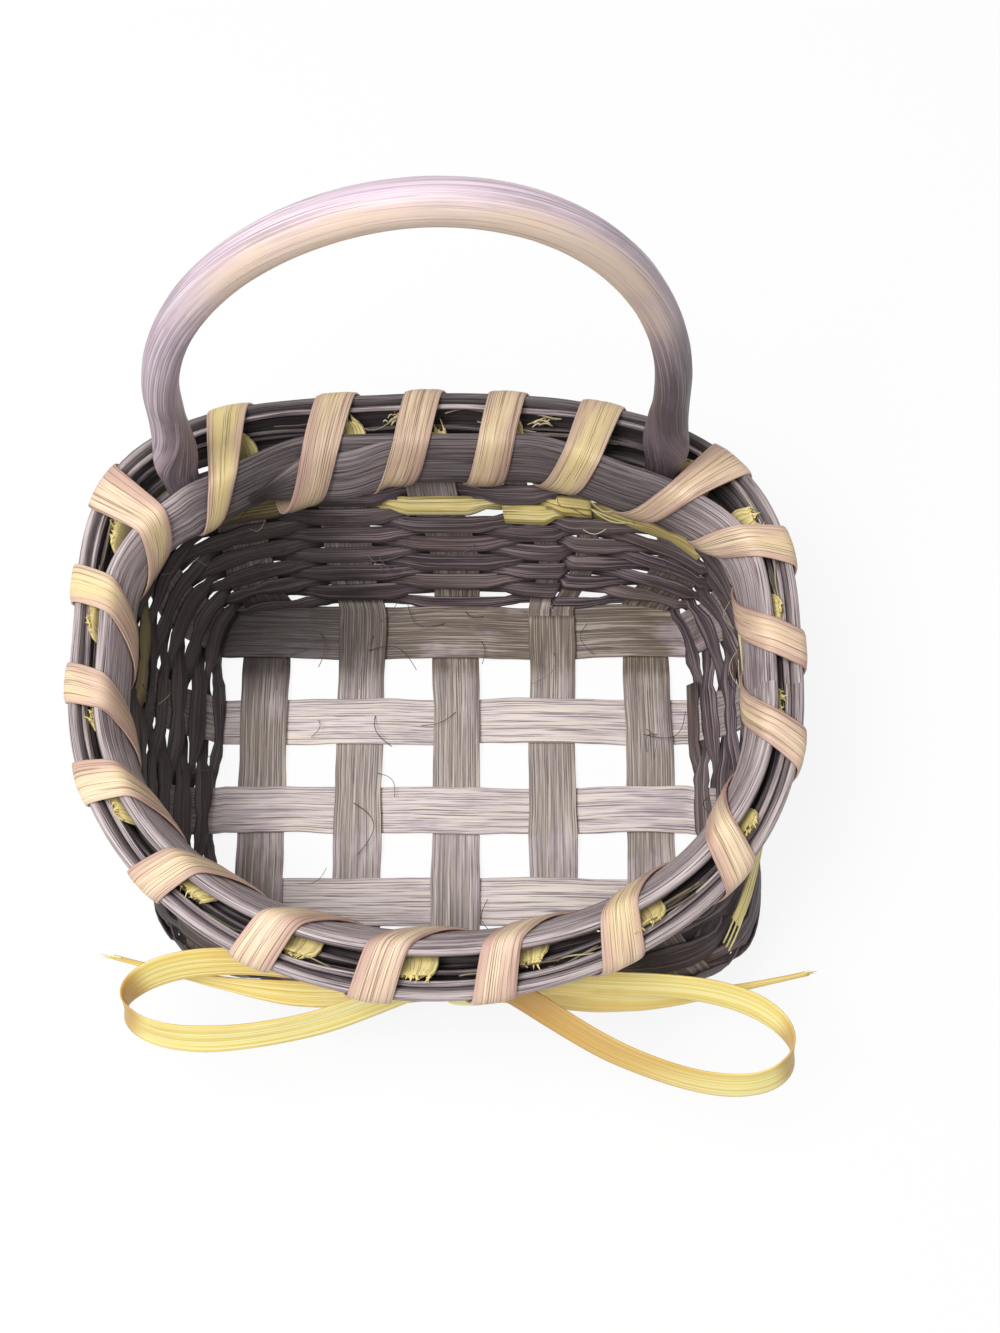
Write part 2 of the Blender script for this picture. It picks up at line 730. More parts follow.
@dataclass
class Stakes:
    """Flat reed stakes, woven flat in the base and turned up into the wall."""

    layout: Layout
    weave_rise: float = 0.75
    crossing_half: float = 4.5
    fold_length: float = 2.4
    fold_top: float = 3.55
    fold_steps: tuple[float, ...] = (0.12, 0.25, 0.4, 0.55, 0.7, 0.85)
    tip_height: float = 64.0
    split_root: float = 1.5
    edge_wander: float = 0.2
    rear_width: float = 15.4
    tip_fibres: int = 26
    tip_fibre: float = 3.2
    tip_lean: Corners = (0.8, 4.2, 0.8, 4.0)

    def base_height(self, at: Grid, crossings: list[tuple[float, bool]]) -> Grid:
        """Height of a flat strip that passes over and under others.

        Args:
            at: Places along the strip.
            crossings: Middle of each crossing, in order, and whether the strip is on top.

        Returns:
            Heights of its middle.
        """
        levels = [(spot, 1.0 if over else -1.0) for spot, over in crossings]
        height = np.full_like(at, levels[0][1])
        for (a, low), (b, high) in zip(levels, levels[1:]):
            swing = (high - low) * ease(at, a + self.crossing_half, b - self.crossing_half)
            height = np.where(at > a, low + swing, height)
        return self.layout.wall.base_middle + self.weave_rise * height

    def upright_rows(self, upright: Upright, way: float, seed: float) -> tuple[Grid, Grid, Grid]:
        """Rows of an upright from the base fold up to its tip.

        Args:
            upright: Which one.
            way: 1 at the strip's start, -1 at its end.
            seed: Number that tells it from others.

        Returns:
            Points, normals and share of wear.
        """
        wall = self.layout.wall
        tip = self.tip_height + 1.8 * math.sin(3.7 * seed)
        height = np.linspace(self.fold_top, tip, 44)[:, None]
        taper = 1.0 - 0.06 * ease(height, tip - 6.0, tip) - 0.3 * ease(height, tip - 2.5, tip + 0.4)
        aside = ACROSS * (upright.width / 2 * taper + self.edge_wander * ripple(height, seed, 23.0)) * way
        angle = wall.walk(upright.angle(height), height, aside)
        height = np.broadcast_to(height, angle.shape).copy()
        height[-1] += 1.1 * ripple(ACROSS * 6.0, seed, 3.0)
        lean = wall.by_side(self.tip_lean, np.radians(angle))
        bow = 0.18 * ripple(height, seed + 4.0, 17.0) + lean * ease(height, 58.0, 65.0) ** 1.3
        points = wall.off(angle, height - 0.2 * lean * ease(height, 60.0, 65.0), bow)
        return points, wall.frames(angle, height)[2], 0.95 * ease(height, 54.0, 61.0)

    def fold_rows(self, edge: Grid, first: Grid, normal: Grid) -> tuple[Grid, Grid]:
        """Rows of the bend between the flat base and an upright.

        Args:
            edge: Last row of the flat base.
            first: Lowest row of the upright.
            normal: Normals of that row.

        Returns:
            Points and normals.
        """
        corner = np.concatenate([first[:, :2], edge[:, 2:]], axis=1) * 0.88 + edge * 0.12
        t = np.array(self.fold_steps)[:, None, None]
        points = edge * (1 - t) ** 2 + corner * 2 * t * (1 - t) + first * t * t
        return points, unit(normal * ease(t, 0, 1) - UP * (1 - ease(t, 0, 1)))

    def strip(
        self, mesh: Mesh, lay: Lay, k: int, ends: tuple[Upright | None, Upright | None],
        reach: Pair, aside: float, width: float, seed: float,
    ) -> None:
        """Adds one strip: up to two uprights and the flat weave between them.

        Args:
            mesh: Piece that the strip belongs to.
            lay: Which way it runs.
            k: Number of the stake.
            ends: Its uprights, or None for a plain end.
            reach: Where its flat part starts and ends.
            aside: How far its middle lies off the stake's middle.
            width: Width of the strip.
            seed: Number that tells it from others.
        """
        layout = self.layout
        if lay is Lay.LONG:
            crossings = [(layout.cross_y(j), (k + j) % 2 == 1) for j in range(layout.cross_stakes)]
        else:
            crossings = [(layout.long_x(i), (i + k) % 2 == 0) for i in range(layout.long_stakes)]
        at = np.linspace(*reach, max(3, int(abs(reach[1] - reach[0]) / 1.4)))[:, None]
        height = self.base_height(at, sorted(crossings)) + 0.07 * ripple(at, seed + 5.0, 19.0)
        side = aside + ACROSS * (width / 2 + self.edge_wander * ripple(at, seed, 31.0))
        side = side + 0.35 * ripple(at, seed + 2.0, 90.0) * (width > 9)
        at, side, height = matched(at, side, height)
        if lay is Lay.LONG:
            flat = np.stack([layout.long_x(k) + side, at, height], -1)
        else:
            flat = np.stack([at, layout.cross_y(k) - side, height], -1)
        parts = [(flat, np.broadcast_to(-UP, flat.shape), np.zeros(flat.shape[:2]))]
        tips: list[tuple[Grid, Grid]] = []
        for upright, edge, way in ((ends[0], 0, 1), (ends[1], -1, -1)):
            if upright is None:
                continue
            points, out, worn = self.upright_rows(upright, way, seed + (0.5 if way > 0 else 0.0))
            tips.append((points[-2], points[-1]))
            bend, turn = self.fold_rows(flat[edge], points[0], out[0])
            pairs = ((bend, points), (turn, out), (np.zeros(bend.shape[:2]), worn))
            part = tuple(np.concatenate(pair)[::-way] for pair in pairs)
            parts = [part, *parts] if way > 0 else [*parts, part]
        points, normals, worn = (np.concatenate(part) for part in zip(*parts))
        x, y, z = (points[..., c] for c in range(3))
        wall = 1.0 - ease(z, 54.0, 60.0)
        shade = 0.45 * ease(z, 3.0, 12.0) * wall + 0.25 * ease(-x, 44.0, 64.0) * wall
        corner = ease(-x, -2.0, 46.0) * ease(y, 14.0, 34.0)
        shade = (shade + 0.9 * corner * (1.0 - ease(z, 3.0, 12.0))).clip(0.0, 0.92)
        olive = self.olive_share(x, y, z)
        mesh.ribbon(points, normals, STAKE_THICKNESS, ACROSS, worn=worn, shade=shade, tint=olive)
        for n, (below, above) in enumerate(tips):
            self.fray(mesh, below, above, seed + n)

    def olive_share(self, x: Grid, y: Grid, z: Grid) -> Grid:
        """Share of olive brown: the rear cross stake and the dye's stains near it.

        Args:
            x: Places to the right.
            y: Places to the rear.
            z: Heights.

        Returns:
            The share at each point.
        """
        rear = bump(y, 29.0, 48.0, 5.0) * (1.0 - ease(z, 4.0, 16.0))
        patch = 0.07 * ripple(x + 0.7 * y, 2.0, 70.0)
        if np.ptp(y) > np.ptp(x):
            return np.clip(0.3 * rear + 0.66 + 0.12 * ease(np.abs(x), 30.0, 56.0) + patch, 0.0, 1.0)
        return np.clip(0.95 * rear + 0.1 * ease(-y, 0.0, 30.0) + patch, 0.0, 1.0)

    def fray(self, mesh: Mesh, below: Grid, above: Grid, seed: float) -> None:
        """Adds the torn fibres on top of an upright's cut tip.

        Args:
            mesh: Piece that the fibres belong to.
            below: Points across the strip just under the tip.
            above: Points across the tip.
            seed: Number that tells this tip from others.
        """
        rng = np.random.default_rng(int(seed * 10))
        rise = unit(above - below)
        along = np.linspace(-0.4, 1.0, 5)[:, None]
        for _ in range(self.tip_fibres):
            spot = rng.uniform(0.0, len(above) - 1.001)
            k, t = int(spot), spot % 1.0
            reach = self.tip_fibre * rng.uniform(0.1, 0.6)
            sway = rng.uniform(-0.8, 0.8, 3)
            path = reach * (rise[k] * along + sway * along * np.abs(along) * 0.8)
            radius = rng.uniform(0.2, 0.42) * (1.15 - np.maximum(along[:, 0], 0.0))
            mesh.thread(above[k] * (1 - t) + above[k + 1] * t + path, radius, worn=1.0)

    def build(self) -> None:
        """Makes all the stakes, each in place of its solid."""
        layout = self.layout
        half_x, half_y = layout.wall.base_half
        stakes = [(Lay.LONG, k, half_y) for k in range(layout.long_stakes)]
        stakes += [(Lay.CROSS, k, half_x) for k in range(layout.cross_stakes)]
        for lay, k, half in stakes:
            solid = f"stake_{lay.value}_{k + 1}"
            mesh = Mesh(f"reed_{solid}")
            seed = 1.0 + k + (10.0 if lay is Lay.CROSS else 0.0)
            reach = half - self.fold_length
            own = (upright for upright in layout.uprights() if (upright.lay, upright.stake) == (lay, k))
            first, *last = sorted(own, key=lambda upright: upright.end)
            if len(last) == 1:
                broad = self.rear_width if (lay, k) == (Lay.CROSS, 0) else STAKE_WIDTH
                aside = (STAKE_WIDTH - broad) / 3
                self.strip(mesh, lay, k, (first, last[0]), (-reach, reach), aside, broad, seed)
            else:
                root = reach - self.split_root
                self.strip(mesh, lay, k, (first, None), (-reach, root), 0.0, STAKE_WIDTH, seed)
                for n, upright in enumerate(last):
                    aside = (2 * n - 1) * (upright.width + layout.split_gap) / 2
                    span = (root - 0.05, reach)
                    self.strip(mesh, lay, k, (None, upright), span, aside, upright.width, seed + 0.3 * n)
            mesh.build(STAKE_REED, solid)


@dataclass
class Weavers:
    """The dark spiral, the mustard row and the dark row above it."""

    layout: Layout
    thickness: float = 0.8
    offset: float = 1.06
    start_height: float = 5.0
    pitch: float = 3.6813
    low_height: float = 3.0
    lowest_edge: float = 1.4
    shingle: float = 0.4
    turns: int = 9
    first: int = 5
    width: float = 5.4
    accent_width: float = 6.4
    crossing: float = 3.1
    opened: float = 0.46
    lead_in: int = 17
    lap: int = 2

    def climb(self, turns: float) -> float:
        """Middle height of a weaver after so many turns from the first upright."""
        lift = float(ease(turns, -0.05, 0.22))
        return self.low_height + (self.start_height + self.pitch * turns - self.low_height) * lift

    def row(
        self, mesh: Mesh, first: int, count: int, lift: float, outside: bool, seed: float, width: float
    ) -> Grid:
        """Adds a weaver that goes clockwise, outside one upright and inside the next.

        Args:
            mesh: Piece that it belongs to.
            first: Upright that it starts at.
            count: Uprights that it passes.
            lift: Turns that lie below its start.
            outside: Whether it starts outside.
            seed: Number that tells it from others.
            width: Its width.

        Returns:
            The points across its end.
        """
        wall, ups = self.layout.wall, self.layout.uprights()
        total = len(ups)
        keys: list[tuple[float, float, float]] = []
        leave = None
        for k in range(count):
            level = self.climb(lift + k / total)
            before, after = (float(a) for a in self.layout.edges(ups[(first + k) % total], level))
            side = self.offset if (k % 2 == 0) == outside else -self.offset
            if leave is None:
                near = before + 3.0
            else:
                near = leave + float(turn_between(before, leave))
                middle = (leave + near) / 2
                for t in (-0.7, -0.35, 0.0, 0.35, 0.7):
                    level = self.climb(lift + (k - 0.5 + 0.3 * t) / total)
                    keys.append((middle + (near - middle) * t, level, side * math.sin(t * math.pi / 2)))
            leave = near + float(turn_between(after, near))
            for t in (0.0, 0.2, 0.4, 0.6, 0.8, 1.0):
                level = self.climb(lift + (k - 0.3 + 0.6 * t) / total)
                keys.append((near + (leave - near) * t, level, side * (1.0 + 0.06 * math.sin(math.pi * t))))
        degrees, height, offset = np.array(keys).T[..., None]
        at = np.arange(len(keys), dtype=float)[:, None]
        grip = np.abs(offset) / self.offset
        tilt = 0.06 * ripple(at, seed, 37.0) + 0.05 * ripple(at, seed + 3.0, 11.0)
        tilt = tilt + self.shingle * (1.0 - 0.8 * ease(grip, 0.5, 0.98))
        spread = self.crossing + (width - self.crossing) * ease(grip, 0.25, 0.95)
        low = 1.0 - 0.12 * (1.0 - ease(height, 3.0, 7.0))
        sides = ease(np.abs(turn_between(degrees, 90.0)), 32.0, 48.0)
        patchy = (0.2 + 0.9 * ripple(at, seed + 1.0, 9.0)).clip(0.0, 1.0)
        half = spread / 2 * low * (1.0 - self.opened * sides * patchy) * NARROW
        rise = np.maximum(height + 0.42 * ripple(at, seed + 2.0, 31.0) + half, self.lowest_edge)
        _, up, out = wall.frames(degrees, rise)
        points = wall.off(degrees, rise, offset + tilt * half)
        left = bump(np.mod(degrees, 360.0), 122.0, 208.0, 14.0)
        under = ease(-NARROW, 0.3, 1.0) + 0.5 * ease(NARROW, 0.75, 1.0)
        mesh.ribbon(
            points, unit(out - tilt[..., None] * up), self.thickness, NARROW,
            worn=0.3 * ripple(at, seed + 9.0, 61.0).clip(0.0, 1.0),
            shade=(0.66 * left + 0.55 * under + 0.3 * ease(offset, 0.1, 1.0)).clip(0.0, 0.92),
            tint=0.6 * (ripple(at, seed + 6.0, 83.0) - 0.1).clip(0.0, 1.0),
        )
        return points[-1]

    def fray(self, mesh: Mesh, end: Grid, seed: int) -> None:
        """Adds three thin fibres that peel off a cut end.

        Args:
            mesh: Piece that they belong to.
            end: Points across the end.
            seed: Seed of their spread.
        """
        rng = np.random.default_rng(seed)
        t = np.linspace(0.0, 1.0, 12)[:, None]
        for reach in (7.0, 11.0, 15.0):
            sag = np.array([0.0, -1.0, -1.6]) * rng.uniform(0.4, 1.0)
            start = end[rng.integers(1, len(end) - 1)]
            path = start + np.array([1.0, -0.25, -0.18]) * reach * t + sag * np.sin(math.pi * t)
            mesh.thread(path, 0.22, worn=1.0)

    def loose_end(self) -> None:
        """Makes the mustard end that hangs outside the right front corner."""
        t = np.linspace(0.0, 1.0, 30)[:, None]
        turn = 357.0 - 31.0 * t
        rise = 41.0 - 9.0 * t**1.3 + 1.9 * (1.0 - 0.4 * t) * NARROW
        bow = 2.3 + 3.2 * np.sin(math.pi * t) ** 0.8 + 0.3 * NARROW
        mesh = Mesh("reed_accent_loose_end")
        points = self.layout.wall.off(turn, rise, bow)
        normal = self.layout.wall.frames(turn, rise)[2]
        mesh.ribbon(points, normal, self.thickness, NARROW, worn=0.5 * ease(t, 0.5, 1.0))
        last = 8
        for k in (1, 3, 5):
            ahead = (points[-1, k] - points[-last, k]) * 0.5
            mesh.thread(points[-last:, k] + ahead * np.linspace(0.0, 1.0, last)[:, None], 0.25, worn=1.0)
        mesh.build(ACCENT_REED)

    def build(self) -> None:
        """Makes the spiral, the accent row with its loose end and the last dark row."""
        total = len(self.layout.uprights())
        spiral = self.turns * total
        mesh = Mesh("reed_weaver_spiral")
        start, count = self.first - self.lead_in, self.lead_in + spiral - self.lap
        self.row(mesh, start, count, -self.lead_in / total, self.lead_in % 2 == 0, 1.0, self.width)
        mesh.build(DARK_REED, "weaver_spiral")
        mesh = Mesh("reed_weaver_accent")
        end = self.row(
            mesh, self.first - self.lap, total + self.lap, self.turns - self.lap / total,
            (spiral - self.lap) % 2 == 0, 5.0, self.accent_width,
        )
        self.fray(mesh, end, 4)
        mesh.build(ACCENT_REED, "weaver_accent")
        self.loose_end()
        mesh = Mesh("reed_weaver_rim_row")
        self.row(
            mesh, self.first + 1, total - 1, self.turns + 1 + 1.6 / total,
            (spiral + total + 1) % 2 == 0, 8.0, self.accent_width,
        )
        mesh.build(DARK_REED, "weaver_rim_row")


@dataclass
class Rims:
    """Two flat-oval rims, the reeds between them and the lashing round both."""

    layout: Layout
    width: float = 16.0
    thickness: float = 3.4
    inner_offset: float = 1.0
    stand_off: Corners = (2.3, 7.2, 2.3, 5.8)
    raised: Corners = (0.0, 3.2, 0.0, 0.0)
    feet_x: Pair = (-69.9, 53.3)
    gives: Pair = (10.5, 7.0)
    gives_over: float = 30.0
    tail_width: float = 9.0
    lashing_width: float = 9.5
    lashing_thickness: float = 0.8
    lashing_gap: float = 0.35
    slant: float = 3.0
    slack: Corners = (0.3, 0.0, 0.3, 1.6)
    leads: tuple[float, ...] = (
        0.8, 2.2, 2.2, 2.2, -2.0, -3.0,
        -4.2, -5.4, -5.6, -4.5,
        -5.0, -5.5, -6.2, -5.0, -5.0,
        -4.3, -3.5, -4.5, -3.0,
    )
    lap_span: Pair = (107.0, 124.0)
    lap_thickness: float = 2.4
    lap_drop: float = 3.6
    gap_fibres: int = 34
    tuft_fibres: int = 16
    feet: Pair = field(init=False)

    def __post_init__(self) -> None:
        """Finds where the handle's feet stand on the rim line."""
        scan = np.linspace(0.0, 180.0, 3601)
        x = self.layout.wall.rim_plan(np.radians(scan))[:, 0]
        self.feet = tuple(float(np.interp(-spot, -x, scan)) for spot in self.feet_x)

    def bulge(self, degrees: Grid) -> Grid:
        """How far the inner rim gives way to the ends of the handle.

        Args:
            degrees: Directions round the rim.

        Returns:
            The distance at each.
        """
        flat = self.tail_width / 2 + REED_GAP
        shares = []
        for foot, give in zip(self.feet, self.gives):
            reach = np.abs(turn_between(degrees, foot)) * math.radians(self.layout.wall.rim_half[0])
            shares.append(give * (1.0 - ease(reach, flat, flat + self.gives_over)))
        return np.maximum(*shares)

    def back(self, degrees: Grid, side: Side) -> Grid:
        """Distance of a rim's back from the wall's middle.

        Args:
            degrees: Directions round the rim.
            side: Which rim.

        Returns:
            The distance at each, negative inward.
        """
        if side is Side.INSIDE:
            return -(self.inner_offset + self.bulge(degrees))
        return self.inner_offset + self.layout.wall.by_side(self.stand_off, np.radians(degrees))

    def lift(self, degrees: Grid, side: Side) -> Grid:
        """How much higher than the rim line a rim stands."""
        share = float(side is Side.OUTSIDE)
        return share * self.layout.wall.by_side(self.raised, np.radians(degrees))

    def rim(self, side: Side, solid: str) -> None:
        """Makes one rim.

        Args:
            side: Inside or outside of the wall.
            solid: Solid that it stands for.
        """
        degrees = np.linspace(0.0, 360.0, 220, endpoint=False)[:, None]
        half_section = np.array([18, 36, 52, 66, 78, 88.0])
        section = np.radians(np.concatenate([-half_section[::-1], [0.0], half_section]))
        seed = 2.0 + side.value
        flat = np.array([0.9, 0.5, 0.0, -0.5, -0.9])
        back = np.repeat(self.back(degrees, side), len(flat), axis=1)
        middle = self.lift(degrees, side) + 0.25 * ripple(degrees, seed, 47.0)
        half = self.width / 2 + 0.2 * ripple(degrees, seed + 4.0, 63.0)
        crown = self.thickness * np.cos(section) ** 0.45 + 0.13 * np.cos(section * 9.0)
        out = np.concatenate([back[:, :1] + side.value * crown, back], axis=1)
        up = np.sign(section) * np.abs(np.sin(section)) ** 0.8
        up = middle + half * np.concatenate([up, flat])
        edge = 0.55 * ease(np.abs(np.sin(section)), 0.93, 1.0)
        edge = edge * (0.6 + 0.4 * ripple(degrees, seed, 31.0)).clip(0, 1)
        below = np.concatenate([0.4 * ease(-np.sin(section), 0.5, 1.0), 0.5 + 0.0 * flat])
        mesh = Mesh(f"reed_{solid}")
        mesh.sweep(
            self.layout.wall.rim_frame(degrees, out, up), True,
            worn=np.concatenate([edge, 0.0 * back], axis=1),
            shade=(below + 0.72 * bump(degrees, 46.0, 132.0, 16.0)).clip(0.0, 0.88), tint=0.25,
        )
        mesh.build(RIM_REED, solid)

    def lap(self) -> None:
        """Makes the cut end of the inner rim that lies on its start."""
        start, end = self.lap_span
        degrees = np.linspace(start - 9.0, end + 4.0, 40)[:, None]
        section = np.radians(np.linspace(-86.0, 86.0, 13))
        tip = 1.0 - 0.8 * ease(degrees, end - 8.0, end + 4.0)
        deep = self.lap_thickness * ease(degrees, start - 9.0, start + 3.0) * (0.35 + 0.65 * tip)
        flat = np.array([0.8, 0.3, -0.3, -0.8])
        front = np.repeat(self.back(degrees, Side.INSIDE) - self.thickness + 0.5, len(flat), axis=1)
        out = np.concatenate([front[:, :1] - (deep + 0.3) * np.cos(section) ** 0.5, front], axis=1)
        up = np.concatenate([np.sign(section) * np.abs(np.sin(section)) ** 0.85, flat])
        up = self.width / 2 * tip * up - self.lap_drop * ease(degrees, start - 9.0, start + 6.0)
        mesh = Mesh("reed_rim_inner_lap")
        shade = 0.6 + 0.4 * ease(degrees, end - 6.0, end + 2.0)
        mesh.sweep(self.layout.wall.rim_frame(degrees, out, up), shade=shade)
        mesh.build(RIM_REED)

    def round_reed(
        self, mesh: Mesh, share: float, up: float, radius: float, seed: float, **shares: float
    ) -> None:
        """Adds a thin round reed that lies between the rims.

        Args:
            mesh: Piece that it belongs to.
            share: Place between the stakes, at 0, and the outer rim, at 1.
            up: Height above the rim line.
            radius: Radius of the reed.
            seed: Number that tells it from others.
            shares: Shares of dirt and tint.
        """
        degrees = np.linspace(0.0, 360.0, 240, endpoint=False)
        near = STAKE_THICKNESS / 2 + 0.7
        far = self.back(degrees, Side.OUTSIDE) - REED_GAP - radius
        out = near + (far - near) * np.clip(share + 0.2 * ripple(degrees, seed, 83.0), 0.0, 1.0)
        rise = self.lift(degrees, Side.OUTSIDE) * share + up + 0.6 * ripple(degrees, seed + 2.0, 61.0)
        mesh.thread(self.layout.wall.rim_frame(degrees, out, rise), radius, 8, True, **shares)

    def fillers(self) -> None:
        """Makes the round reeds between the rims and the fibres caught there."""
        wall, top = self.layout.wall, self.width / 2
        mesh = Mesh("reed_rim_filler")
        for share, down, radius, seed, tint, shade in (
            (1.0, 2.4, 0.75, 1.0, 0.4, 0.0), (0.5, 5.2, 0.6, 4.0, 0.9, 0.3), (0.8, 7.4, 0.6, 7.0, 1.0, 0.5),
            (0.35, 10.0, 1.1, 3.0, 1.0, 0.7), (0.7, 11.0, 1.1, 5.0, 1.0, 0.7),
            (0.95, 12.0, 1.1, 6.0, 1.0, 0.7),
        ):
            self.round_reed(mesh, share, top - down, radius, seed, tint=tint, shade=shade)
        for foot in self.feet:
            degrees = foot + np.linspace(-16.0, 14.0, 16)
            for share, up in ((0.35, 1.0), (0.6, -1.5), (0.85, -0.5)):
                out = -self.inner_offset - self.bulge(degrees) * share
                mesh.thread(wall.rim_frame(degrees, out, up), 1.1, 8, shade=0.7)
        mesh.build(RIM_REED, "rim_filler")
        rng = np.random.default_rng(7)
        mesh = Mesh("fibre_rim_gap")
        for _ in range(self.gap_fibres):
            degrees = rng.uniform(0.0, 360.0) + np.linspace(0.0, rng.uniform(3.0, 13.0), 10)
            far = self.back(degrees, Side.OUTSIDE) - 0.6
            share = rng.uniform(0.2, 0.9) + 0.3 * ripple(degrees, rng.uniform(0, 9), 30.0)
            share = share.clip(0.1, 0.97)
            up = top - rng.uniform(1.0, 5.0) + self.lift(degrees, Side.OUTSIDE) * share
            up = up + 1.2 * ripple(degrees, rng.uniform(0, 9), 22.0)
            path = wall.rim_frame(degrees, 0.9 + (far - 0.9) * share, up)
            mesh.thread(path, rng.uniform(0.12, 0.26), shade=rng.uniform(0.2, 0.8))
        for spot, out in ((97.5, 6.5), (100.0, 6.0), (69.0, 6.0), (112.0, 5.0)):
            self.tuft(mesh, spot, out, rng)
        mesh.build(PALE_FIBRE)

    def tuft(self, mesh: Mesh, degrees: float, out: float, rng: np.random.Generator) -> None:
        """Adds a torn end of pale fibres that shows between the rims.

        Args:
            mesh: Piece that it belongs to.
            degrees: Where it is round the rim.
            out: How far outside the wall's middle it lies.
            rng: Source of the seeded spread.
        """
        for _ in range(self.tuft_fibres):
            turn = degrees + rng.normal(0.0, 0.9) + np.linspace(-1.2, 1.2, 7) * rng.uniform(0.4, 1.3)
            up = self.width / 2 - 2.0 + rng.normal(0.0, 0.7) + 0.9 * np.sin(np.linspace(0.0, 3.0, 7))
            away = out + rng.normal(0.0, 0.8) + np.linspace(0.0, rng.normal(0.0, 1.0), 7)
            mesh.thread(self.layout.wall.rim_frame(turn, away, up), rng.uniform(0.14, 0.24))

    def wraps(self) -> tuple[list[float], list[Pair]]:
        """Places of the lashing on top of the rims and under them.

        Returns:
            Angles of the wraps, and angle and width of each gap that it goes through.
        """
        layout, wall = self.layout, self.layout.wall
        ups = layout.uprights()
        tops, passes = [], []
        for upright, following, lead in zip(ups, ups[1:] + ups[:1], self.leads):
            tops.append(float(upright.angle(wall.rim_height)) + lead)
            start = float(layout.edges(upright, wall.ruled_from)[1])
            end = float(layout.edges(following, wall.ruled_from)[0])
            gap = float(turn_between(end, start))
            across = wall.points(start, wall.ruled_from) - wall.points(start + gap, wall.ruled_from)
            room = float(np.linalg.norm(across)) - 4 * REED_GAP
            passes.append((start + gap / 2, min(self.lashing_width, room)))
        return tops, passes

    def lashing(self) -> None:
        """Makes the one long strip that winds round both rims."""
        wall = self.layout.wall
        tops, passes = self.wraps()
        clear = self.lashing_gap + self.lashing_thickness / 2
        quarter = np.array([0, 16, 32, 48, 62, 74, 84, 90.0])
        steps = np.concatenate([-quarter[:0:-1], quarter])
        keys: list[tuple[float, float, float, float, float]] = []
        for k, top in enumerate(tops):
            for side, (far, room), turns in ((-1.0, passes[k - 1], steps), (1.0, passes[k], steps[::-1])):
                far = top + float(turn_between(far, top))
                over = top - side * 0.3 * self.slant
                for turn in turns:
                    share = (turn + 90.0) / 180.0
                    lean = far + (over - far) * (1.0 - (1.0 - share) ** 1.7)
                    width = room + (self.lashing_width - room) * float(ease(share, 0.0, 0.45))
                    keys.append((lean, side, turn, width, k))
        degrees, side, turn, width, wrap = np.array(keys).T[..., None]
        index = np.arange(len(keys), dtype=float)[:, None]
        across = ACROSS * (width / 2) * (1.0 + 0.05 * ripple(index, 3.0, 31.0))
        at = wall.walk(degrees, wall.rim_height, -across)
        bow = np.sin(np.radians(turn))
        crown = (self.thickness + clear) * np.cos(np.radians(turn)).clip(0.0) ** 0.45
        lap = bump(np.mod(at, 360.0), *self.lap_span, 5.0)
        inner = (self.lap_thickness + 0.4) * lap * (1.0 - ease(bow, 0.3, 0.9))
        inner = self.back(at, Side.INSIDE) - crown - inner
        slack = wall.by_side(self.slack, np.radians(at)) * ease(-bow, -0.5, 0.9)
        outer = self.back(at, Side.OUTSIDE) + crown + slack
        drop = self.lap_drop * lap * (1.0 - ease(bow, -0.6, 0.3))
        up = np.where(side < 0, -drop, self.lift(at, Side.OUTSIDE))
        up = up + (self.width / 2 + clear) * np.sign(bow) * np.abs(bow) ** 0.8
        middle = relaxed(wall.rim_frame(at, np.where(side < 0, inner, outer), up), 4)
        normal = unit(np.cross(unit(np.gradient(middle, axis=1)), unit(np.gradient(middle, axis=0))))
        if np.sum(normal * wall.frames(at, wall.rim_height)[2] * side[..., None]) < 0:
            normal = -normal
        cup = 0.22 * (1.0 - ACROSS**2) + 0.07 * ripple(across * 2.0 + 0.2 * index, 6.0, 9.0) + 0.12
        tone = 0.35 + 0.5 * bump(at, 58.0, 165.0, 25.0) + 0.25 * ripple(wrap * 7.0, 5.0, 23.0)
        tone = tone.clip(0.0, 1.0)
        drift = 0.5 + 0.5 * ripple(index, 8.0, 37.0)
        edges = ease(np.abs(ACROSS + 0.3 * ripple(index, 4.0, 45.0)), 0.35, 1.05)
        mesh = Mesh("reed_rim_lashing")
        mesh.ribbon(
            middle + normal * cup[..., None], normal, self.lashing_thickness, ACROSS,
            worn=(0.85 * edges * (1.0 - 0.5 * tone)).clip(0.0, 1.0),
            shade=0.36 * ease(-bow, 0.3, 1.0) + 0.14 * bump(at, 50.0, 112.0, 12.0),
            tint=(1.1 * tone * drift * (1.0 - np.abs(ACROSS) ** 3)).clip(0.0, 1.0),
        )
        mesh.build(LASHING_REED, "rim_lashing")

    def build(self) -> None:
        """Makes the rims, the reeds between them and the lashing."""
        self.rim(Side.INSIDE, "rim_inner")
        self.rim(Side.OUTSIDE, "rim_outer")
        self.lap()
        self.fillers()
        self.lashing()


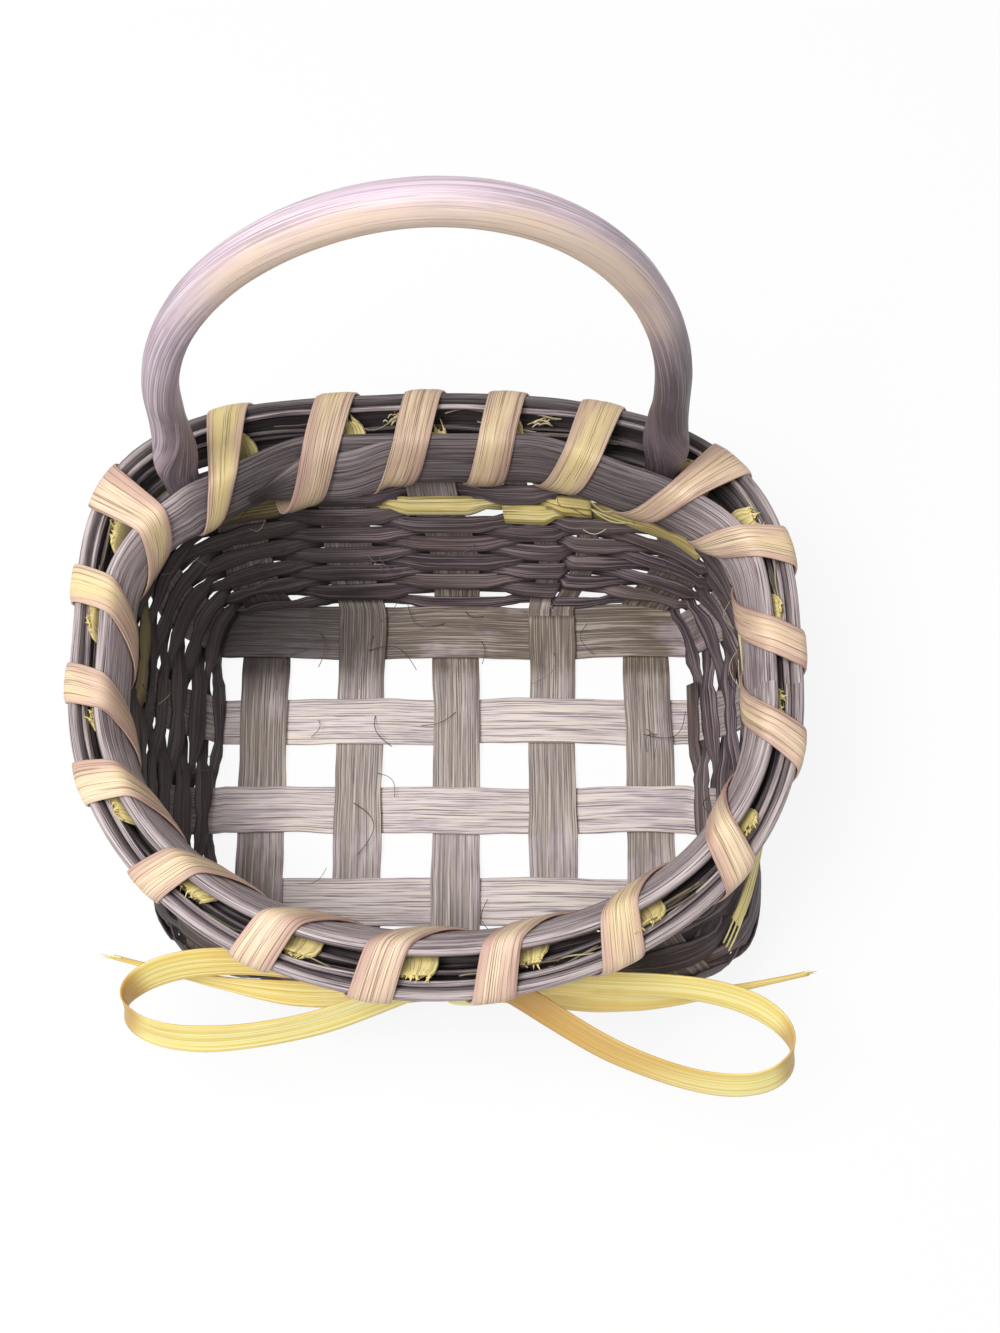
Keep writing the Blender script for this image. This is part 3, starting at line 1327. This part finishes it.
@dataclass
class Handle:
    """The bent hoop whose flattened ends stand inside the rear corners."""

    rims: Rims
    width: float = 10.0
    thickness: float = 8.6
    height: float = 179.0
    spring_height: float = 92.0
    half_span: float = 61.6
    waist: float = 2.2
    skew: float = 5.5
    lean_back: float = 5.0
    tail_thickness: float = 5.5
    tail_below: float = 6.0
    shoulder: float = 5.0
    swell: float = 1.2
    leg_extra: Pair = (0.14, 0.2)
    arch_stations: int = 21
    stations: int = 170
    sides: int = 28

    def tail(self, foot: int) -> list[Grid]:
        """Key stations of one end, from its cut tip up to the rim's top.

        Args:
            foot: 0 for the left one, 1 for the right one.

        Returns:
            Rows of centre, across, outward, width and thickness.
        """
        rims, wall = self.rims, self.rims.layout.wall
        offset = REED_GAP + 0.44 * self.tail_thickness - rims.inner_offset - rims.gives[foot]
        keys = []
        for t in (0.0, 0.5, 1.0):
            height = wall.rim_height - self.tail_below + (rims.width / 2 + self.tail_below) * t
            around, _, out = wall.frames(rims.feet[foot], height)
            centre = wall.off(rims.feet[foot], height, offset)
            size = [rims.tail_width, self.tail_thickness]
            keys.append(np.concatenate([centre, around * (2 * foot - 1), out, size]))
        return keys

    def arch(self, middle: Grid, run: float, angle: Grid) -> Grid:
        """Points of the arch above the legs.

        Args:
            middle: Point midway between the feet.
            run: How much it goes back for each step to the right.
            angle: Angles in radians from the left spring.

        Returns:
            The points.
        """
        up = np.sin(angle)
        side = -np.cos(angle) * (self.half_span - self.waist)
        x = middle[0] + side + self.skew * up * up
        y = middle[1] + self.lean_back + run * side
        return np.stack([x, y, self.spring_height + (self.height - self.spring_height) * up], -1)

    def leg(self, foot: Grid, spring: Grid) -> list[Grid]:
        """Key stations between a foot and the arch.

        Args:
            foot: Station at the rim's top.
            spring: Station at the end of the arch.

        Returns:
            Stations from the foot up.
        """
        rows = []
        flat = foot[6:9] * [1.0, 1.0, 0.0]
        for t in (0.15, 0.35, 0.6, 0.8):
            height = foot[2] + (spring[2] - foot[2]) * t
            grown = float(ease(height, foot[2] + 0.5, foot[2] + self.shoulder))
            turn = float(ease(t, 0.0, 1.0))
            centre = foot[:3] + (spring[:3] - foot[:3]) * t + flat * self.swell * grown * (1 - turn)
            side = unit(foot[3:6] + (spring[3:6] - foot[3:6]) * turn)
            out = unit(flat + (spring[6:9] - flat) * turn)
            rows.append(np.concatenate([centre, side, out, foot[9:] + (spring[9:] - foot[9:]) * grown]))
        return rows

    def path(self) -> Grid:
        """Key stations from the left tip over the arch to the right tip.

        Returns:
            Rows of centre, across, outward, width and thickness.
        """
        left, right = self.tail(0), self.tail(1)
        middle = (left[-1][:3] + right[-1][:3]) / 2
        run = (right[-1][1] - left[-1][1]) / (2 * self.half_span)
        across = unit(np.array([-run, 1.0, 0.0]))
        angle = np.linspace(0.0, math.pi, self.arch_stations)
        along = unit(self.arch(middle, run, angle + 0.01) - self.arch(middle, run, angle - 0.01))
        rest = np.tile([*across, self.width, self.thickness], (len(angle), 1))
        outward = unit(np.cross(along, across))
        arch = np.hstack([self.arch(middle, run, angle), rest[:, :3], outward, rest[:, 3:]])
        legs = self.leg(left[-1], arch[0]), self.leg(right[-1], arch[-1])
        return np.array([*left, *legs[0], *arch, *legs[1][::-1], *right[::-1]])

    def build(self) -> None:
        """Makes the hoop in place of its solid."""
        rows = smoothed(self.path(), self.stations)
        angle = (np.arange(self.sides) + 0.5) / self.sides * 2 * math.pi
        up = np.sin(angle)
        out = np.where(up > 0, 0.56 * up, -0.44 * np.abs(up) ** 0.6)
        centre, across, outward = rows[:, None, 0:3], rows[:, None, 3:6], rows[:, None, 6:9]
        x, z, width, thickness = (rows[:, c : c + 1] for c in (0, 2, 9, 10))
        at = np.arange(len(rows), dtype=float)[:, None]
        plane = 1.0 + 0.012 * ripple(at, 3.0, 37.0) + 0.008 * ripple(at + angle * 9.0, 5.0, 21.0)
        right = ease(x, -10.0, 55.0)
        extra = self.leg_extra[0] + (self.leg_extra[1] - self.leg_extra[0]) * right
        wide = width / 2 * np.cos(angle) * plane * (1.0 + extra * bump(z, 76.0, 116.0, 10.0))
        rings = centre + across * wide[..., None] + outward * (thickness * out * plane)[..., None]
        height = z + 6.0 * ripple(at, 9.0, 31.0)
        front = ease(-np.cos(angle) - 0.35 * up, -0.35, 0.8) + 0.8 * ease(-up, 0.0, 0.9)
        warm = ease(height, 132.0, 168.0) + 0.35 * right * ease(height, 112.0, 140.0)
        dyed = 1.0 - ease(height, 78.0 + 22.0 * right, 156.0 + 20.0 * right)
        low = 0.3 * (1.0 - ease(height, 60.0, 82.0)) + 0.55 * right * (1.0 - ease(height, 90.0, 150.0))
        mesh = Mesh("wood_handle")
        mesh.sweep(
            rings, worn=(front * warm * (0.85 + 0.25 * ripple(at + angle * 5.0, 4.0, 17.0))).clip(0.0, 0.85),
            shade=low, tint=(dyed * (0.95 - 0.15 * front.clip(0.0, 1.0))).clip(0.0, 1.0),
        )
        mesh.build(HANDLE_WOOD, "handle")


@dataclass
class Bow:
    """The bow of flat reed on the outside of the front wall."""

    layout: Layout
    reed_width: float = 9.0
    reed_thickness: float = 0.8
    height: float = 39.5
    tilt: float = 30.0
    tail_drop: float = 10.0
    tail_sag: float = 3.5
    taper: float = 0.14
    knot_x: float = 4.0
    knot: tuple[float, float, float] = (11.0, 4.4, 20.0)
    knot_clear: float = 1.47 + 0.4 + REED_GAP
    knot_square: float = 3.2
    tuck: tuple[float, float, float] = (0.0, 1.8, 2.8)
    loops: tuple[tuple[float, float, float], ...] = ((77.0, 19.0, 182.5), (74.0, 22.0, -12.2))
    tails: tuple[Pair, ...] = ((82.0, 173.0), (78.0, 4.5))
    tip_fibres: int = 9

    def knot_centre(self) -> Grid:
        """Finds the middle of the knot, set against the outermost weave behind it.

        Returns:
            The point.
        """
        wall = self.layout.wall
        angle = math.degrees(math.atan2(-wall.rim_half[1], self.knot_x))
        middle = self.height - self.tail_drop / 2
        levels = middle + np.array([-0.5, 0.0, 0.5]) * self.knot[2]
        back = wall.off(angle, levels, self.knot_clear)[:, 1].min() - REED_GAP
        return np.array([self.knot_x, back - self.knot[1] / 2, middle])

    def root(self, ahead: Grid, height: float) -> Grid:
        """Where a strip that goes one way leaves the knot."""
        centre = self.knot_centre()
        return np.array([centre[0] + math.copysign(self.knot[0] / 2 + REED_GAP, ahead[0]), centre[1], height])

    def strip(self, mesh: Mesh, points: Grid, width: Value, worn: Grid, tint: Value, seed: float) -> None:
        """Adds a flat strip that leans back toward the basket.

        Args:
            mesh: Piece that it belongs to.
            points: Its middle line.
            width: Its width along it.
            worn: Share of the worn colour along it.
            tint: Share of the gold stain along it.
            seed: Number that tells it from others.
        """
        lean = math.radians(self.tilt)
        ahead = unit(np.gradient(points, axis=0))
        up = np.broadcast_to([0.0, math.sin(lean), math.cos(lean)], points.shape)
        at = np.arange(len(points), dtype=float)[:, None]
        normal = unit(np.cross(ahead, up) + 0.1 * ripple(at, seed, 53.0) * up)
        up = unit(np.cross(normal, ahead))
        half = width / 2 * (1.0 + 0.03 * ripple(at, seed + 1.0, 19.0))
        cup = 0.25 * (1.0 - ACROSS**2) + 0.1 * ripple(ACROSS * 5.0 + at * 0.1, seed, 7.0)
        middle = points[:, None] + up[:, None] * (half * ACROSS)[..., None] + normal[:, None] * cup[..., None]
        gold = (tint + 0.35 * ease(np.abs(ACROSS), 0.6, 1.0)).clip(0.0, 1.0)
        mesh.ribbon(middle, normal[:, None], self.reed_thickness, ACROSS, worn=worn, tint=gold)

    def loop(self, side: str, length: float, width: float, heading: float) -> None:
        """Makes one loop.

        Args:
            side: Left or right.
            length: How far it reaches.
            width: How wide it opens.
            heading: Its way in plan, in degrees.
        """
        direction = math.radians(heading)
        ahead = plan_way(direction)
        aside = np.array([-ahead[1], ahead[0], 0.0])
        t = np.linspace(0.16, 2 * math.pi - 0.16, 90)[:, None]
        forward = ((1 - np.cos(t)) / 2) ** 0.9
        reach = length * (forward - forward[0])
        swell = width * 0.66 * (np.sin(t) * np.abs(np.sin(t / 2)) ** 1.2)
        points = self.root(ahead, self.height) + ahead * reach + aside * swell
        points = points + self.tuck * (1.0 - ease(reach, 0.0, 34.0))
        if side == "left":
            worn, tint = 0.85 * bump(t, 2.85, 3.45, 0.3), 0.55 * ease(t, 3.6, 4.8)
        else:
            worn = 0.85 * ease(t, 4.4, 5.7) + 0.75 * bump(t, 2.85, 3.35, 0.3)
            tint = 0.95 * ease(t, 3.9, 4.9)
        mesh = Mesh(f"reed_bow_loop_{side}")
        self.strip(mesh, points, self.reed_width, worn, tint, 3.0 + direction)
        mesh.build(BOW_REED, f"bow_loop_{side}")

    def tail(self, side: str, length: float, heading: float) -> None:
        """Makes one tail with its torn tip.

        Args:
            side: Left or right.
            length: How far it reaches.
            heading: Its way in plan, in degrees.
        """
        direction = math.radians(heading)
        ahead = plan_way(direction)
        t = np.linspace(0.0, 1.0, 60)[:, None]
        points = self.root(ahead, self.height - self.tail_drop) + ahead * (length * t)
        points = points - [0.0, self.tail_sag, 0.0] * np.sin(math.pi * t)
        points = points + self.tuck * (1.0 - ease(length * t, 0.0, 40.0))
        width = self.reed_width * (1.0 + (self.taper - 1.0) * ease(t, 0.3, 1.0))
        mesh = Mesh(f"reed_bow_tail_{side}")
        self.strip(mesh, points, width, 0.3 * ease(t, 0.8, 1.0), 0.3, 8.0 + direction)
        self.fray(mesh, points[-1], ahead, 1.0 if side == "left" else 0.6)
        mesh.build(BOW_REED, f"bow_tail_{side}")

    def fray(self, mesh: Mesh, tip: Grid, ahead: Grid, size: float) -> None:
        """Adds the fibres that stick out of a torn tip.

        Args:
            mesh: Piece that they belong to.
            tip: End of the strip's middle line.
            ahead: Way that the strip points.
            size: How long they are, with 1 for the longest.
        """
        rng = np.random.default_rng(11)
        t = np.linspace(-0.6, 1.0, 7)[:, None]
        for k in range(self.tip_fibres):
            reach = size * rng.uniform(1.6, 3.8)
            bend = np.array([0.0, 0.5 * (rng.random() - 0.5), 0.7 * (rng.random() - 0.5)])
            start = tip + np.array([0.0, 0.2, 0.7]) * (k / 4.0 - 1.0)
            mesh.thread(start + ahead * reach * t + bend * reach * t * t, 0.16 * (1.15 - t[:, 0]), 4)

    def knot_wraps(self) -> None:
        """Makes the knot as two bands of reed round its middle."""
        mesh = Mesh("reed_bow_knot")
        half_x, half_y = self.knot[0] / 2 - 0.5, self.knot[1] / 2 - 0.5
        turn = np.linspace(0.0, 2 * math.pi, 48, endpoint=False)
        n = self.knot_square
        radius = ((np.abs(np.cos(turn)) / half_x) ** n + (np.abs(np.sin(turn)) / half_y) ** n) ** (-1 / n)
        x, y = radius * np.cos(turn), radius * np.sin(turn)
        for level, slope in ((7.2, 0.1), (-1.6, -0.1)):
            ring = np.stack([x, y, slope * x], -1)
            ahead = unit(np.roll(ring, -1, axis=0) - np.roll(ring, 1, axis=0))
            normal = unit(np.cross(ahead, UP))[:, None]
            up = np.array([0.0, 0.15, 1.0]) * (level + 4.2 * ACROSS)[:, None]
            middle = self.knot_centre() + [0.0, 1.0, 0.0] + ring[:, None] + up
            mesh.ribbon(middle, normal, 0.9, ACROSS, True)
        mesh.build(BOW_REED, "bow_knot")

    def build(self) -> None:
        """Makes the loops, the tails and the knot."""
        for side, loop in zip(("left", "right"), self.loops):
            self.loop(side, *loop)
        for side, tail in zip(("left", "right"), self.tails):
            self.tail(side, *tail)
        self.knot_wraps()


@dataclass
class Hairs:
    """Loose fibres that lie on the base and curl off the walls."""

    layout: Layout
    base_count: int = 20
    wall_count: int = 34
    radius: float = 0.085
    pale_spots: tuple[Pair, ...] = (
        (172.0, 30.0), (12.0, 40.0), (8.0, 36.0), (16.0, 44.0), (60.0, 34.0), (128.0, 38.0),
    )

    def build(self) -> None:
        """Makes the dark hairs and the few pale ones."""
        rng = np.random.default_rng(23)
        dark = Mesh("fibre_loose_dark")
        t = np.linspace(0.0, 1.0, 14)[:, None]
        for _ in range(self.base_count):
            j = rng.integers(0, 2) if rng.random() < 0.8 else rng.integers(0, 4)
            spot = [rng.uniform(-55.0, 55.0), self.layout.cross_y(int(j)) + rng.uniform(-6.0, 6.0), 3.0]
            ahead = plan_way(rng.uniform(0.0, 2 * math.pi))
            reach = rng.uniform(5.0, 16.0)
            curl = np.array([-ahead[1], ahead[0], 0.0]) * rng.uniform(-0.4, 0.4) * reach
            curl = curl + UP * rng.uniform(0.5, 3.0)
            path = spot + reach * ahead * t + curl * np.sin(math.pi * t)
            dark.thread(path, self.radius * rng.uniform(0.7, 1.3), shade=0.35)
        for _ in range(self.wall_count):
            self.wall_hair(dark, rng, rng.uniform(0.0, 360.0), rng.uniform(6.0, 44.0), 0.3)
        dark.build(DARK_REED)
        pale = Mesh("fibre_loose_pale")
        for degrees, height in self.pale_spots:
            self.wall_hair(pale, rng, degrees, height, 0.0)
        pale.build(PALE_FIBRE)

    def wall_hair(
        self, mesh: Mesh, rng: np.random.Generator, degrees: float, height: float, shade: float
    ) -> None:
        """Adds a fibre that stands a little off the inside of the wall.

        Args:
            mesh: Piece that it belongs to.
            rng: Source of the seeded spread.
            degrees: Where it starts round the wall.
            height: Height that it starts at.
            shade: Share of dirt and dark dye.
        """
        t = np.linspace(0.0, 1.0, 12)
        turn = degrees + rng.uniform(-9.0, 9.0) * t
        rise = height + rng.uniform(-7.0, 7.0) * t + rng.uniform(-2.0, 2.0) * np.sin(math.pi * t)
        away = -(2.0 + rng.uniform(0.5, 3.0) * np.sin(math.pi * t))
        mesh.thread(self.layout.wall.off(turn, rise, away), self.radius * rng.uniform(0.8, 1.4), shade=shade)


@dataclass
class Studio:
    """Pale floor, soft light and the camera at the photograph's angle."""

    look_down: float = 70.0
    focal_px: float = 2000.0
    image_px: tuple[int, int] = (1000, 1333)
    sensor_mm: float = 36.0
    target_x: float = 11.9
    target_up: float = 27.07
    distance: float = 540.0
    floor_half_m: float = 4.0
    floor_glow: float = 0.88
    lamp_watts: float = 9.8
    lamp_size_m: Pair = (0.6, 0.5)
    lamp_place_m: tuple[float, float, float] = (-0.32, -0.12, 1.0)
    sky: float = 0.38

    def seen(self, tree: Tree) -> Socket:
        """Is 1 for rays that come from the camera, a reflection or through glass.

        Args:
            tree: Node tree that asks.

        Returns:
            The value.
        """
        rays = node(tree, "LightPath").node.outputs
        direct = node(
            tree, "Math", {0: rays["Is Camera Ray"], 1: rays["Is Glossy Ray"]}, operation="MAXIMUM"
        )
        return node(tree, "Math", {0: direct, 1: rays["Is Transmission Ray"]}, operation="MAXIMUM")

    def floor(self) -> None:
        """Makes a floor that the camera sees as white with a faint shadow."""
        mesh = bpy.data.meshes.new("floor")
        half = self.floor_half_m
        corners = [(x * half, y * half, 0) for x, y in ((-1, -1), (1, -1), (1, 1), (-1, 1))]
        mesh.from_pydata(corners, [], [(0, 1, 2, 3)])
        floor = bpy.data.objects.new("floor", mesh)
        bpy.context.scene.collection.objects.link(floor)
        paint = bpy.data.materials.new("matt_white_paint")
        paint.use_nodes = True
        tree = paint.node_tree
        tree.nodes.clear()
        share = node(tree, "Math", {0: self.seen(tree), 1: self.floor_glow}, operation="MULTIPLY")
        matt = node(tree, "BsdfDiffuse", {"Color": srgb("#f4f4f4")})
        glow = node(tree, "Emission", {"Color": WHITE, "Strength": 1.0})
        node(tree, "OutputMaterial", {0: node(tree, "MixShader", {0: share, 1: matt, 2: glow})})
        mesh.materials.append(paint)

    def light(self) -> None:
        """Makes one large soft lamp and an even white sky."""
        lamp = bpy.data.lights.new("softbox", "AREA")
        lamp.shape = "RECTANGLE"
        lamp.size, lamp.size_y = self.lamp_size_m
        lamp.energy = self.lamp_watts
        box = bpy.data.objects.new("softbox", lamp)
        box.location = self.lamp_place_m
        box.rotation_euler = (Vector((0.0, 0.0, 0.05)) - box.location).to_track_quat("-Z", "Y").to_euler()
        bpy.context.scene.collection.objects.link(box)
        world = bpy.data.worlds.new("white_sky")
        bpy.context.scene.world = world
        world.use_nodes = True
        tree = world.node_tree
        tree.nodes.clear()
        sky, white = (
            node(tree, "Background", {"Color": WHITE, "Strength": strength}) for strength in (self.sky, 1.0)
        )
        node(tree, "OutputWorld", {0: node(tree, "MixShader", {0: self.seen(tree), 1: sky, 2: white})})

    def camera(self) -> None:
        """Makes the camera that looks down into the basket from the front."""
        tilt = math.radians(self.look_down)
        ahead = np.array([0.0, math.cos(tilt), -math.sin(tilt)])
        up = np.array([0.0, math.sin(tilt), math.cos(tilt)])
        place = np.array([self.target_x, 0.0, 0.0]) + self.target_up * up - self.distance * ahead
        data = bpy.data.cameras.new("camera")
        data.sensor_width = self.sensor_mm
        data.lens = self.focal_px * self.sensor_mm / max(self.image_px)
        data.clip_start = 0.01
        camera = bpy.data.objects.new("camera", data)
        camera.location = tuple((place + CENTRING) / MM_PER_M)
        camera.rotation_euler = (math.radians(90.0 - self.look_down), 0.0, 0.0)
        bpy.context.scene.collection.objects.link(camera)
        bpy.context.scene.camera = camera
        bpy.context.scene.view_settings.view_transform = "Standard"

    def build(self) -> None:
        """Makes the floor, the light and the camera."""
        self.floor()
        self.light()
        self.camera()


def main() -> None:
    """Builds the basket and the studio."""
    logging.basicConfig(level=logging.INFO, format="%(message)s")
    layout = Layout()
    Stakes(layout).build()
    Weavers(layout).build()
    rims = Rims(layout)
    rims.build()
    Handle(rims).build()
    Bow(layout).build()
    Hairs(layout).build()
    Studio().build()


if __name__ == "__main__":
    main()
